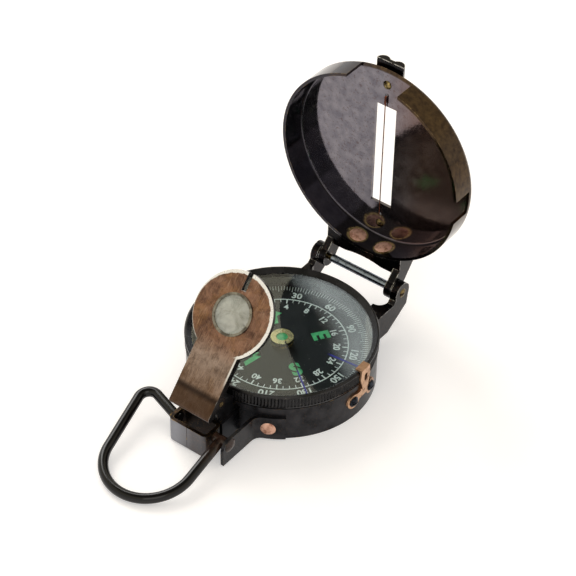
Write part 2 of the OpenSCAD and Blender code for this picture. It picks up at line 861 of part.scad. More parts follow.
// Half section of the lid's cup in its closed place
module lid_section() {
    difference() {
        union() {
            translate([0, lid_rim_z]) square([lid_r, lid_h - lid_round]);
            translate([0, lid_rim_z]) square([lid_r - lid_round, lid_h]);
            translate([lid_r - lid_round, lid_top - lid_round]) circle(r = lid_round);
        }
        translate([-1, lid_rim_z - 1]) square([lid_r - lid_round + 1, lid_h - lid_t + 1]);
        translate([0, lid_rim_z - 1]) square([lid_r - lid_t, lid_h - lid_round + 1]);
        translate([lid_r - lid_round, lid_top - lid_round]) circle(r = lid_round - lid_t);
        translate([-lid_round, 0]) square([lid_round, 2 * lid_top]);
    }
}

module lid_shell() {
    color(patina) lid_pose() difference() {
        rotate_extrude() lid_section();
        translate([-lens_notch_w / 2, -lid_d, lid_rim_z - 1])
            cube([lens_notch_w, lid_d - lid_r * 0.8, lid_h + 1 - lid_t]);
        translate([0, -spring_notch_w / 2 + case_r * sin(spring_at), lid_rim_z - 1])
            cube([lid_d, spring_notch_w, spring_notch_h + 1]);
        translate([-slot_w / 2, -slot_l / 2, lid_rim_z]) cube([slot_w, slot_l, lid_h + 1]);
        for (side = [-1, 1]) {
            translate([0, side * wire_hole_y, lid_rim_z]) cylinder(r = wire_hole_r, h = lid_h + 1);
            translate([0, side * wire_pin_y, lid_rim_z]) cylinder(r = wire_pin_r, h = lid_h + 1);
            radial(90 + side * lid_rivet_angle(), lid_rivet_z) cylinder(r = rivet_shank_r, h = lid_d);
        }
    }
}

function lid_rivet_angle() = asin(lid_rivet_x / lid_r);

// Side view of one lid ear, from the lid wall to the pin
module lid_ear_side() {
    ear_foot = lid_r * 0.88;
    eye_r = ear_r - 0.2;
    strap_top = lid_top - lid_round;
    difference() {
        union() {
            translate([hinge_y, hinge_z]) circle(r = eye_r);
            polygon([[ear_foot, strap_z], [lid_r + 1, strap_z],
                [hinge_y - eye_r * 0.64, hinge_z - eye_r * 0.64],
                [hinge_y + eye_r * 0.58, hinge_z + eye_r * 0.75],
                [strap_r, strap_top], [ear_foot, strap_top]]);
        }
        translate([hinge_y, hinge_z]) circle(r = pin_r + running);
    }
}

// Plan view of the web between the lid's ears, with a round hollow in its free edge
module strap_web_plan() {
    web_r = lid_r + strap_web_w;
    hollow_r = 1.2 * lid_ear_gap;
    difference() {
        translate([-lid_ear_x - ear_t / 2, 0]) square([lid_ear_gap + ear_t, web_r]);
        circle(r = lid_r);
        translate([0, web_r - strap_web_w * 0.25 + hollow_r]) circle(r = hollow_r);
    }
}

module lid_hinge_strap() {
    ear_angle = asin((lid_ear_x + ear_t / 2) / strap_r);
    color(patina) lid_pose() difference() {
        union() {
            translate([0, 0, strap_z]) linear_extrude(height = lid_top - lid_round - strap_z)
                arc_strip(strap_r, lid_r, 90 - ear_angle, 90 + ear_angle);
            translate([0, 0, strap_z]) linear_extrude(height = strap_web_t) strap_web_plan();
            for (side = [0, 1]) mirror([side, 0, 0]) upright(lid_ear_x, ear_t) lid_ear_side();
        }
        cylinder(r = lid_r, h = 2 * lid_top);
        for (side = [-1, 1])
            radial(90 + side * lid_rivet_angle(), lid_rivet_z) cylinder(r = rivet_shank_r, h = lid_d);
    }
}

module lid_rivets() {
    color(copper) lid_pose() for (side = [-1, 1])
        radial_rivet(90 + side * lid_rivet_angle(), lid_rivet_z, lid_r - lid_t - rivet_bed, strap_r,
            lid_rivet_r);
}

// The sighting wire lies just below the lid's ceiling, and its ends go up through the lid
module sight_wire() {
    color(copper) lid_pose() {
        translate([0, -wire_hole_y, wire_z]) rotate([-90, 0, 0]) cylinder(d = wire_d, h = 2 * wire_hole_y);
        translate([0, -wire_hole_y, wire_z - eps]) rotate([-90, 0, 0]) cylinder(r = wire_d, h = wire_twist_l);
        for (side = [-1, 1])
            translate([0, side * wire_hole_y, wire_z - wire_d])
                cylinder(r = wire_d, h = lid_top - wire_z + wire_d);
    }
}

module wire_pins() {
    color(brass) lid_pose() for (side = [-1, 1]) translate([0, side * wire_pin_y, lid_ceiling]) {
        cylinder(r = wire_pin_r, h = lid_t);
        mirror([0, 0, 1]) dome(wire_pin_head_r, wire_pin_head_h);
    }
}

module lid_catch() {
    back_y = lid_r - 4;
    front_y = lid_r + 1.6;
    web_h = catch_h * 0.6;
    lobe_x = catch_w / 2 - catch_h;
    color(patina) lid_pose() intersection() {
        union() {
            for (side = [-1, 1]) translate([side * lobe_x, -back_y, lid_top])
                rotate([90, 0, 0]) cylinder(r = catch_h, h = front_y - back_y);
            translate([-lobe_x, -front_y, lid_top]) cube([2 * lobe_x, front_y - back_y, web_h]);
        }
        translate([-catch_w, -lid_d, lid_top]) cube([2 * catch_w, lid_d, catch_h]);
    }
}

// Lens bracket

// Plan view of the folded neck and tail, as wide as asked for
module neck_plan(width) {
    translate([-width / 2, -lens_hinge_y - tail_l]) square([width, lens_reach + tail_l]);
}

// Plan view of the folded lens plate, with its tail, neck and round head
module plate_plan() {
    difference() {
        union() {
            translate([0, lens_head_y]) circle(r = head_d / 2);
            neck_plan(neck_w);
        }
        translate([0, lens_head_y]) circle(r = lens_d / 2);
        translate([-head_notch_w / 2, lens_head_y + head_d / 2 - head_notch_l])
            square([head_notch_w, head_d]);
    }
}

// Plan view of the two flanges that stiffen the neck
module flange_plan() {
    flange_end = lens_head_y - head_d * 0.4;
    difference() {
        neck_plan(neck_w);
        neck_plan(neck_w - 2 * flange_t);
        translate([-neck_w, flange_end]) square(2 * neck_w);
    }
}

module lens_plate() {
    color(bronze) lens_pose() difference() {
        union() {
            translate([0, 0, plate_z]) linear_extrude(height = plate_t) plate_plan();
            translate([0, 0, plate_z - flange_h]) linear_extrude(height = flange_h + eps) flange_plan();
            translate([0, -lens_hinge_y - tail_l, plate_z + plate_t - lip_r])
                crosswise(lip_r, -neck_w / 2, neck_w / 2);
            for (side = [0, 1]) mirror([side, 0, 0]) {
                translate([0, -lens_hinge_y, lens_hinge_z])
                    crosswise(cheek_r, neck_w / 2 - flange_t, neck_w / 2);
                translate([neck_w / 2 - flange_t, -lens_hinge_y - cheek_r, lens_hinge_z])
                    cube([flange_t, 2 * cheek_r, plate_lift + eps]);
            }
        }
        translate([0, -lens_hinge_y, lens_hinge_z]) crosswise(lens_pin_r + running, -neck_w, neck_w);
    }
}

module lens_cell() {
    color(patina) lens_pose() translate([0, lens_head_y, plate_z + plate_t])
        ring((lens_d + cell_w) / 2, (lens_d - cell_w) / 2, cell_h);
}

module lens() {
    color([0.85, 0.92, 0.92, 0.35]) lens_pose() translate([0, lens_head_y, plate_z]) union() {
        cylinder(r = lens_d / 2, h = plate_t);
        translate([0, 0, plate_t]) dome((lens_d - cell_w) / 2, lens_crown);
    }
}

// Thumb ring

// The point where a line from a point touches a circle, on one of its two sides
function tangent_point(from, centre, r, side) =
    let(away = centre - from,
        dist = norm(away),
        angle = atan2(away[1], away[0]) + side * asin(r / dist),
        length = sqrt(dist * dist - r * r))
    from + length * [cos(angle), sin(angle)];

// The angle from +X at which one point sees another
function heading(from, to) = atan2(to[1] - from[1], to[0] - from[0]);

// The direction from one point to another, as a vector of length 1
function unit(from, to) = (to - from) / norm(to - from);

// Half of the angle between the two straight parts that meet at a corner
function half_corner(before, corner, after) = acos(unit(corner, before) * unit(corner, after)) / 2;

// The point before a corner where its bend begins
function bend_start(before, corner, after, r) =
    corner + unit(corner, before) * r / tan(half_corner(before, corner, after));

// The centre of the bend at a corner
function bend_centre(before, corner, after, r) =
    let(inward = unit(corner, before) + unit(corner, after))
    corner + inward / norm(inward) * r / sin(half_corner(before, corner, after));

// Straight wire between two points of the ring's plane; each end reaches a little way into the bend beyond it
module straight_wire(from, to) {
    overlap = 0.1;
    translate([from[0], from[1], 0]) rotate([0, 90, heading(from, to)]) translate([0, 0, -overlap])
        cylinder(r = ring_wire_r - eps, h = norm(to - from) + 2 * overlap);
}

// Bent wire round a centre, anticlockwise from an angle
module bent_wire(centre, r, from, sweep) {
    translate([centre[0], centre[1], 0]) rotate([0, 0, from]) rotate_extrude(angle = sweep)
        translate([r, 0]) circle(r = ring_wire_r, $fn = 48);
}

// The ring in its own plane: out of the loop, round the corner, round the front and back along the right
module ring_wire() {
    shoulder = bend_start(ring_left_end, ring_left, ring_corner, ring_bend_r);
    shoulder_end = bend_start(ring_corner, ring_left, ring_left_end, ring_bend_r);
    turn = bend_start(ring_left, ring_corner, bow_left, ring_bend_r);
    turn_end = bend_start(bow_left, ring_corner, ring_left, ring_bend_r);
    shoulder_centre = bend_centre(ring_left_end, ring_left, ring_corner, ring_bend_r);
    turn_centre = bend_centre(ring_left, ring_corner, bow_left, ring_bend_r);
    bow_from = heading(bow, bow_left) + 360;
    bow_sweep = heading(bow, bow_right) + 360 - bow_from;
    straight_wire(ring_left_end, shoulder);
    bent_wire(shoulder_centre, ring_bend_r, heading(shoulder_centre, shoulder_end),
        180 - 2 * half_corner(ring_left_end, ring_left, ring_corner));
    straight_wire(shoulder_end, turn);
    bent_wire(turn_centre, ring_bend_r, heading(turn_centre, turn),
        180 - 2 * half_corner(ring_left, ring_corner, bow_left));
    straight_wire(turn_end, bow_left);
    bent_wire(bow, bow_r, bow_from, bow_sweep);
    straight_wire(bow_right, ring_right);
}

// The left-hand end goes through the loop's wall. The pin at the right goes through the other wall and the
// strap, and is peened over outside the strap.
module thumb_ring() {
    head_x = strap_arm_end_x + running;
    pin_from = front_shift + loop_half_w - ring_stub_l;
    color([0.06, 0.06, 0.07]) translate([0, -ring_y, ring_z]) {
        rotate([ring_slope, 0, 0]) ring_wire();
        crosswise(ring_wire_r, pin_from, head_x);
        translate([head_x, 0, 0]) rotate([0, 90, 0]) dome(ring_head_r, ring_head_h);
    }
}

case();
bezel_snap_ring();
pivot_post();
hinge_bracket();
hinge_bracket_rivets();
hinge_pin();
hinge_spacer();
strap_loop();
ring_strap();
strap_rivet();
lens_hinge_block();
lens_hinge_pin();
bezel_spring();
spring_screws();
bezel_ring();
window_glass();
glass_seat_ring();
bearing_lines();
compass_card();
dial_scale();
card_letters();
card_magnet();
pivot_cap();
pivot_jewel();
cap_dot();
lid_shell();
lid_hinge_strap();
lid_rivets();
sight_wire();
wire_pins();
lid_catch();
lens_plate();
lens_cell();
lens();
thumb_ring();
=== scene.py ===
# %% [markdown]
# A lensatic compass, dressed for a picture
#
# The compass is a small brass instrument with a black patina: a round case with a knurled bezel, a
# floating card under glass, a lid with a sighting slot, a folding lens plate and a thumb ring. Its
# shapes come from a CAD model that is loaded here as a fixed frame. This lesson gives each piece its
# finish, adds the fine work that is easier to draw here, such as the print on the card, and lights it
# all on a white table.

# %% Load the frame
import json
import math
import bmesh
import bpy
from mathutils import Matrix, Vector


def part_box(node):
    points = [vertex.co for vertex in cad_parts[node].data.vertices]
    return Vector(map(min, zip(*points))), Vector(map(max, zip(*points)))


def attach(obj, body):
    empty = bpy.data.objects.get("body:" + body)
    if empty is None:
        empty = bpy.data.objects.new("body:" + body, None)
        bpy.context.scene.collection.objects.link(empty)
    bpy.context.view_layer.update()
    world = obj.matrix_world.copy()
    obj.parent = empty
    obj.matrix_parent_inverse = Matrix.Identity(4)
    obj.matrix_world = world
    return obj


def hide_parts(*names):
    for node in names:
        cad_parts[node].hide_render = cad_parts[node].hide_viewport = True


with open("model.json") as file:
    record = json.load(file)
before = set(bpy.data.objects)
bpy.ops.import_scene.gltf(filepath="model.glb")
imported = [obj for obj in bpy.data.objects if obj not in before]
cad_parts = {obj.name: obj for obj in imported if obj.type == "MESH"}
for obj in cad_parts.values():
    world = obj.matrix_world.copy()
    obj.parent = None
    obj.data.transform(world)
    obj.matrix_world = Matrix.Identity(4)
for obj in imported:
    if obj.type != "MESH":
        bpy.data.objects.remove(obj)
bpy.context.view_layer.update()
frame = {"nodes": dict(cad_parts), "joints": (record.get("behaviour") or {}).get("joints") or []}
parts = frame["nodes"]
joints = {joint["name"]: joint for joint in frame["joints"]}
MM = 0.001


# %% [markdown]
# The camera comes first, so that every later choice can be judged in the photograph's own view. It is
# given as a photographer would say it: which way it looks, how high it stands, how far away, and how
# long the lens is.

# %% Camera
AZIMUTH = 36.72
ELEVATION = 41.12
ROLL = 1.20
DISTANCE = 604.1 * MM
AIM = Vector((-5.30, 9.37, 21.46)) * MM
SENSOR = 36.0
FOCAL_PIXELS = 2179.2
PICTURE_PIXELS = 576


def camera_axes(azimuth, elevation, roll):
    """Right, up and backward directions of a camera that looks along +Y at azimuth 0."""
    a, e, r = (math.radians(angle) for angle in (azimuth, elevation, roll))
    back = Vector((math.sin(a) * math.cos(e), -math.cos(a) * math.cos(e), math.sin(e)))
    right = Vector((0, 0, 1)).cross(back).normalized()
    up = back.cross(right)
    return (right * math.cos(r) + up * math.sin(r), up * math.cos(r) - right * math.sin(r), back)


right, up, back = camera_axes(AZIMUTH, ELEVATION, ROLL)
camera_data = bpy.data.cameras.new("camera")
camera_data.sensor_width = SENSOR
camera_data.lens = SENSOR * FOCAL_PIXELS / PICTURE_PIXELS
camera_data.clip_end = 20
camera = bpy.data.objects.new("camera", camera_data)
bpy.context.scene.collection.objects.link(camera)
turned = Matrix((right, up, back)).transposed().to_4x4()
camera.matrix_world = Matrix.Translation(AIM + back * DISTANCE) @ turned
bpy.context.scene.camera = camera
print("camera lens", round(camera_data.lens, 1), "mm")


# %% [markdown]
# Every material below is built from nodes. Two helpers keep that short: one turns a hex colour, as a
# designer would write it, into the linear numbers that Blender mixes light with, and one adds a node
# with its settings and its links in a single call.

# %% Helpers for materials
def linear(hex_colour, alpha=1.0):
    """A colour such as '8a5a44' as linear red, green, blue and alpha."""
    values = [int(hex_colour[i:i + 2], 16) / 255 for i in (0, 2, 4)]
    return [v / 12.92 if v <= 0.04045 else ((v + 0.055) / 1.055) ** 2.4 for v in values] + [alpha]


def add(tree, kind, inputs=(), **settings):
    """Adds a shader node with its settings and links. Its inputs are a dict by name, or a list in the
    node's own order. Each is a number, a colour, a socket, or a node, which gives its first output."""
    made = tree.nodes.new("ShaderNode" + kind)
    for name, value in settings.items():
        setattr(made, name, value)
    if isinstance(inputs, dict):
        pairs = [(made.inputs[name], value) for name, value in inputs.items()]
    else:
        pairs = zip([socket for socket in made.inputs if socket.enabled], inputs)
    for socket, value in pairs:
        if isinstance(value, bpy.types.Node):
            value = next(output for output in value.outputs if output.enabled)
        if isinstance(value, bpy.types.NodeSocket):
            tree.links.new(value, socket)
        else:
            socket.default_value = value
    return made


def new_material(name):
    """A material without nodes, and its node tree."""
    material = bpy.data.materials.new(name)
    material.use_nodes = True
    material.node_tree.nodes.clear()
    return material, material.node_tree


def finish_with(node_names, material):
    """Puts one material in every slot of these CAD parts."""
    for name in node_names:
        mesh = parts[name].data
        mesh.materials.clear()
        mesh.materials.append(material)
    print(material.name, "on", len(node_names), "parts")


# %% [markdown]
# Metal is never one even colour. A patina is a thin layer of oxide that grew unevenly, so both its tone
# and its gloss drift over a few millimetres. Where fingers and cloth rub, along edges, the layer is
# gone and the bare metal shows; on the hinge parts and the lens plate the same edges also carry a
# painted highlight. The edge can be found with a Bevel node: where a rounded version of the surface
# would face another way than the real one does, there is an edge. The noise then breaks the line up.
#
# All patterns are masks, black and white pictures that say how much of a colour lies at a point. Noise
# seldom reaches its ends, so a Map Range node stretches it. That node takes a value, the two ends it
# comes from, and the two ends it goes to, which are 0 and 1 if no others are given.

# %% Patterns that several materials share
def blotches(tree, size_mm, detail=4.0, roughness=0.55, distortion=0.0):
    """Noise whose patches are about size_mm across, from the part's own coordinates in metres."""
    return add(tree, "TexNoise", {
        "Vector": add(tree, "TexCoord").outputs["Object"], "Scale": 1 / (size_mm * MM), "Detail": detail,
        "Roughness": roughness, "Distortion": distortion})


def along(tree, direction, source="Object"):
    """How far a point lies, or how much a face looks, in one direction of the part's own space."""
    place = add(tree, "TexCoord").outputs[source]
    return add(tree, "VectorMath", [place, direction], operation="DOT_PRODUCT")


def from_upright_axis(tree):
    """How far a point lies from the Z axis, which runs through the middle of the card and its glass."""
    place = add(tree, "TexCoord").outputs["Object"]
    flat = add(tree, "VectorMath", [place, (1, 1, 0)], operation="MULTIPLY")
    return add(tree, "VectorMath", [flat], operation="LENGTH")


def overlap(tree, first, *others):
    """What several masks have in common. A number among them is an even strength."""
    for other in others:
        first = add(tree, "Math", [first, other], operation="MULTIPLY", use_clamp=True)
    return first


def layered(tree, base, *layers):
    """A colour with others laid over it in turn. Each layer is a mask and a colour, in hex or as a node."""
    under = linear(base) if isinstance(base, str) else base
    for mask, colour in layers:
        over = linear(colour) if isinstance(colour, str) else colour
        under = add(tree, "Mix", [mask, under, over], data_type="RGBA")
    return under


# The cosine between the rounded surface and the real one, where the edge mask is empty and where it is
# full.
EDGE_SAME = 0.995
EDGE_TURNED = 0.86


def worn_edges(tree, width_mm, patch_mm, least, most):
    """1 along sharp edges, broken up by noise with patches of patch_mm; 0 on open surfaces."""
    rounded = add(tree, "Bevel", {"Radius": width_mm * MM}, samples=6)
    flat = add(tree, "NewGeometry").outputs["Normal"]
    agreement = add(tree, "VectorMath", [rounded, flat], operation="DOT_PRODUCT")
    edge = add(tree, "MapRange", [agreement, EDGE_SAME, EDGE_TURNED])
    gaps = add(tree, "MapRange", [blotches(tree, patch_mm), least, most])
    return overlap(tree, edge, gaps)


# %% [markdown]
# Oil-blackened brass covers the case, the hinge, the straps and the loop. The real finish is made by
# heating the brass and wiping it with oil, which leaves a dark, slightly glossy skin with a hint of
# brown. It behaves like thin black varnish over metal: dark, mostly metallic, and brassy where an edge
# is worn. Fingers open and close the lid at its hinge and its catch, so the same finish is smoother and
# shinier there. There the edges carry a wider, near-white band, which is partly wear and partly a
# painted highlight.

# %% Blackened brass
# Real specks and grain are finer still. These are as coarse as they need to be to show in the picture.
SPECK_MM = 0.6
GRAIN_MM = 0.7
GRAIN_DEPTH = 0.05 * MM
WEAR_AND_GLINT_PATCH_MM = 1.6
# Noise lies mostly between the first two values, and only its peaks reach the last two.
DRIFT_SPAN = (0.35, 0.68)
SPECK_SPAN = (0.58, 0.66)


def patina(name, dark, light, edge_wear_and_glint, wear_and_glint_mm, wear_and_glint_from, wear_and_glint_to, gloss, metallic, patch_mm,
           gloss_swing=0.16, speck="6b4a36", speck_share=0.25, overpaint=None):
    """Dark oxide between two tones, with specks of rust, and bare metal along its edges, which on the hinge
    parts also stands for a painted highlight.
    """
    material, tree = new_material(name)
    drift = add(tree, "MapRange", [blotches(tree, patch_mm, detail=6.0), *DRIFT_SPAN])
    specks = add(tree, "MapRange", [blotches(tree, SPECK_MM, detail=3.0), *SPECK_SPAN])
    skin = layered(tree, dark, (drift, light), (overlap(tree, specks, speck_share), speck))
    if overpaint:
        skin = overpaint(tree, skin)
    wear_and_glint = worn_edges(tree, wear_and_glint_mm, WEAR_AND_GLINT_PATCH_MM, wear_and_glint_from, wear_and_glint_to)
    grain = add(tree, "Bump", {"Strength": 0.12, "Distance": GRAIN_DEPTH,
                               "Height": blotches(tree, GRAIN_MM, detail=5.0)})
    shader = add(tree, "BsdfPrincipled", {
        "Base Color": layered(tree, skin, (wear_and_glint, edge_wear_and_glint)), "Normal": grain,
        "Roughness": add(tree, "MapRange", [drift, 0.0, 1.0, gloss, gloss + gloss_swing]),
        "Metallic": add(tree, "MapRange", [wear_and_glint, 0.0, 1.0, metallic, 1.0])})
    add(tree, "OutputMaterial", [shader])
    return material


case_patina = patina("oil_blackened_brass", dark="121215", light="343336", edge_wear_and_glint="a88c5e", wear_and_glint_mm=0.2,
                     wear_and_glint_from=0.52, wear_and_glint_to=0.66, gloss=0.24, metallic=0.75, patch_mm=4.0, speck="54402f")
finish_with(["case", "ring_strap", "lens_hinge_block"], case_patina)
# Hinge, its strap and the catch: the wide near-white edge band is partly wear and partly a painted
# highlight.
hinge_patina_and_glints = patina("handled_blackened_brass_with_painted_glints", dark="0a0a0c", light="201f22", edge_wear_and_glint="c6c4c0", wear_and_glint_mm=0.4,
                      wear_and_glint_from=0.38, wear_and_glint_to=0.54, gloss=0.14, gloss_swing=0.10, metallic=0.92,
                      patch_mm=3.0)
finish_with(["hinge_bracket", "lid_hinge_strap", "lid_catch"], hinge_patina_and_glints)


# %% [markdown]
# The strap loop is the same metal, with a brown and black crust. Its outer front face has a painted
# pale blue-grey sheen, strongest on the left. A face belongs to the front if it looks along -Y and lies
# at the front of the loop.

# %% Strap loop
LOOP_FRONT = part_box("strap_loop")[0][1]
# How far behind the front of the loop the painted sheen is full, and where it is gone.
SHEEN_FULL_TO = LOOP_FRONT + 0.4 * MM
SHEEN_GONE_AT = LOOP_FRONT + 0.7 * MM


def rubbed_front(tree, skin):
    """A painted blue-grey sheen on the outer front face, strongest left of the seam."""
    forward = add(tree, "MapRange", [along(tree, (0, -1, 0), "Normal"), 0.3, 0.7])
    outside = add(tree, "MapRange", [along(tree, (0, 1, 0)), SHEEN_GONE_AT, SHEEN_FULL_TO])
    left_half = add(tree, "MapRange", [along(tree, (1, 0, 0)), 1 * MM, -5 * MM, 0.35, 1.0])
    # The pale blue-grey on the front face is a painted sheen.
    return layered(tree, skin, (overlap(tree, forward, outside, left_half), "88898f"))


loop_patina_and_sheen = patina("loop_patina_with_painted_sheen", dark="171312", light="3d2e24", edge_wear_and_glint="b99a62", wear_and_glint_mm=0.2,
                     wear_and_glint_from=0.46, wear_and_glint_to=0.60, gloss=0.30, metallic=0.9, patch_mm=2.5, speck="a07c42",
                     overpaint=rubbed_front)
finish_with(["strap_loop"], loop_patina_and_sheen)


# %% [markdown]
# The lid is the same blackened brass, but it was polished before it was darkened. It works as a dim
# mirror: it shows the white table grey and the dark dial brown. So it is nearly all metal here, with a
# dark colour and a low roughness. Its inner face is plum grey on the left and brown on the right. The
# wall is painted nearly black, but its upper right was rubbed to a streaky brown, and round the rivets
# the brass shows. All of that is painted by its place on the lid.

# %% Lid
LID_CENTRE = (Vector(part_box("lid_shell")[0]) + Vector(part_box("lid_shell")[1])) / 2
# How far from the lid's axis the tone of its wall sets in, and where it is full.
WALL_SPAN = (27.9 * MM, 28.4 * MM)
UPPER_RIGHT = (0.8, 0, 0.6)
RIVET_X = 4.6 * MM
RIVET_HEAD_R = 2.5 * MM
HALO_FULL_R = RIVET_HEAD_R + 0.4 * MM
HALO_GONE_R = RIVET_HEAD_R + 0.9 * MM
rivet_low, rivet_high = (Vector(corner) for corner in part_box("lid_rivets"))
RIVET_HEAD = (RIVET_X, (rivet_low.y + rivet_high.y) / 2, rivet_high.z)


def rivet_halo(tree, x, y, z):
    """A ragged ring round the head of each of the two rivets, which mirror each other across X."""
    mirrored = add(tree, "Math", [x], operation="ABSOLUTE")
    beside = add(tree, "CombineXYZ", [mirrored, y, z])
    from_rivet = add(tree, "VectorMath", [beside, RIVET_HEAD], operation="DISTANCE")
    ring = add(tree, "MapRange", [from_rivet, HALO_GONE_R, HALO_FULL_R])
    return overlap(tree, ring, add(tree, "MapRange", [blotches(tree, 1.2), 0.32, 0.46]))


def lid_overpaint(tree, skin):
    """A brown right half inside, a dark wall with a brown upper right, and brass rings round the rivets."""
    axes = add(tree, "SeparateXYZ", [add(tree, "TexCoord").outputs["Object"]])
    x, y, z = (axes.outputs[name] for name in "XYZ")
    across = add(tree, "CombineXYZ", [x, 0.0, z])
    from_axis = add(tree, "VectorMath", [across, (0, 0, LID_CENTRE.z)], operation="DISTANCE")
    wall = add(tree, "MapRange", [from_axis, *WALL_SPAN])
    middle = LID_CENTRE.z * UPPER_RIGHT[2]
    upper_right = add(tree, "MapRange", [along(tree, UPPER_RIGHT), middle + 2 * MM, middle + 16 * MM])
    streaks = add(tree, "MapRange", [blotches(tree, 1.6, detail=8.0, roughness=0.7), 0.35, 0.75])
    inner_face = add(tree, "MapRange", [along(tree, (0, -1, 0), "Normal"), 0.3, 0.7])
    to_the_right = add(tree, "MapRange", [x, -1 * MM, 13 * MM])
    brown = layered(tree, "2f241c", (streaks, "594731"))
    return layered(tree, skin, (overlap(tree, to_the_right, inner_face, 0.8), "6c5045"),
                   (overlap(tree, wall, 0.85), "26252a"), (overlap(tree, wall, upper_right), brown),
                   (rivet_halo(tree, x, y, z), "dcc489"))


lid_patina = patina("polished_plum_patina", dark="625f67", light="7b777d", edge_wear_and_glint="94805c", wear_and_glint_mm=0.2,
                    wear_and_glint_from=0.50, wear_and_glint_to=0.64, gloss=0.05, gloss_swing=0.06, patch_mm=3.0, metallic=0.95,
                    speck="4a3228", speck_share=0.45, overpaint=lid_overpaint)
finish_with(["lid_shell"], lid_patina)


# %% [markdown]
# The bezel is turned brass with a fine knurl and a satin black finish. The knurl itself is in the mesh,
# so the material only has to catch the light along the ridges.

# %% Bezel and the ring under the glass
bezel_black = patina("satin_black_knurl", dark="0d0d0f", light="242325", edge_wear_and_glint="8f877c", wear_and_glint_mm=0.12,
                     wear_and_glint_from=0.48, wear_and_glint_to=0.72, gloss=0.22, gloss_swing=0.12, patch_mm=5.0, metallic=0.6,
                     speck="2a2422")
finish_with(["bezel_ring", "glass_seat_ring"], bezel_black)


# %% [markdown]
# The lens plate is bronze brown. Its patina has rubbed through into warm, cloudy patches on the round
# head, while the neck is greyer, and golden towards its foot. Hairline scratches run along the plate.
# The border of the head is filed to bare metal, widest at the top and on the right, and is painted
# almost white, partly as bare metal and partly as a painted highlight; a painted highlight line runs
# along the right edge of the neck. Faces that look neither up nor down from the sheet, its cut edges,
# are painted dark. A painted shadow lies in the crease that crosses the neck by the hinge.

# %% Places on the lens plate
PLATE_SLOPE = math.radians(48.0)
HINGE_X, HINGE_Y, HINGE_Z = joints["lens_fold"]["pos_m"]
HEAD_AT = 22.9 * MM
HEAD_R = 12.1 * MM


def plate_place(tree):
    """A point of the open plate as the distance to the right of its middle and up from its hinge."""
    across, rise = math.cos(PLATE_SLOPE), math.sin(PLATE_SLOPE)
    hinge = HINGE_Y * across + HINGE_Z * rise
    up = add(tree, "Math", [along(tree, (0, across, rise)), hinge], operation="SUBTRACT")
    side = add(tree, "Math", [along(tree, (1, 0, 0)), HINGE_X], operation="SUBTRACT")
    return side, up


# %% [markdown]
# The border was filed by hand, so it isn't evenly wide. A point lies on it where its distance from the
# middle of the head is more than the head's radius less the border's width there, and that width grows
# towards the top right. Its near-white is partly bare metal and partly a painted highlight. On the neck
# only the right edge is marked, with a painted highlight line.

# %% Filed border and its painted highlight
BORDER_W = 1.1 * MM
BORDER_FADE = 0.15 * MM
NECK_W = 13.5 * MM
TOP_RIGHT = (0.8, 0.6, 0)


def filed_border(tree, side, up):
    """1 on the filed border of the head, bare metal with a painted highlight, and on a painted highlight
    line along the neck's right edge.
    """
    place = add(tree, "CombineXYZ", [side, up])
    towards = add(tree, "VectorMath", [place, TOP_RIGHT], operation="DOT_PRODUCT")
    middle = HEAD_AT * TOP_RIGHT[1]
    top_right = add(tree, "MapRange", [towards, middle - 11 * MM, middle + 3 * MM, 0.15, 1.0])
    ragged = add(tree, "MapRange", [blotches(tree, 1.5), 0.3, 0.7, 0.75, 1.15])
    width = add(tree, "Math", [overlap(tree, top_right, ragged), BORDER_W], operation="MULTIPLY")
    inner = add(tree, "Math", [HEAD_R, width], operation="SUBTRACT")
    from_centre = add(tree, "VectorMath", [place, (0, HEAD_AT, 0)], operation="DISTANCE")
    past = add(tree, "Math", [from_centre, inner], operation="SUBTRACT")
    border = add(tree, "MapRange", [past, 0.0, BORDER_FADE])
    at_edge = add(tree, "MapRange", [side, NECK_W / 2 - 0.6 * MM, NECK_W / 2 - 0.4 * MM])
    neck_edge_highlight = overlap(tree, at_edge, add(tree, "MapRange", [up, 4 * MM, 8 * MM, 0.0, 0.8]))
    below_head = add(tree, "MapRange", [up, HEAD_AT - HEAD_R * 0.75, HEAD_AT - HEAD_R * 0.85])
    return add(tree, "Mix", [below_head, border, neck_edge_highlight], data_type="FLOAT")


# %% [markdown]
# The patina is painted in layers, from the broadest to the finest: the tones of neck and head, small
# pits, hairlines, a darker band below the crease and a painted shadow in the crease itself. Hairlines
# are noise again, drawn out along the plate so that each patch becomes a scratch. They are wider than
# real ones, because those would be too fine to show.

# %% Patina of the lens plate
NECK_END = 13.0 * MM
CREASE_AT = 0.3 * MM
# How far from the crease its painted shadow is gone, and where it is full.
CREASE_SHADOW_SPAN = (1.45 * MM, 0.15 * MM)
HAIRLINE_W = 0.25 * MM
HAIRLINE_W_TO_LENGTH = 0.08
HAIRLINE_SHARE = 0.35


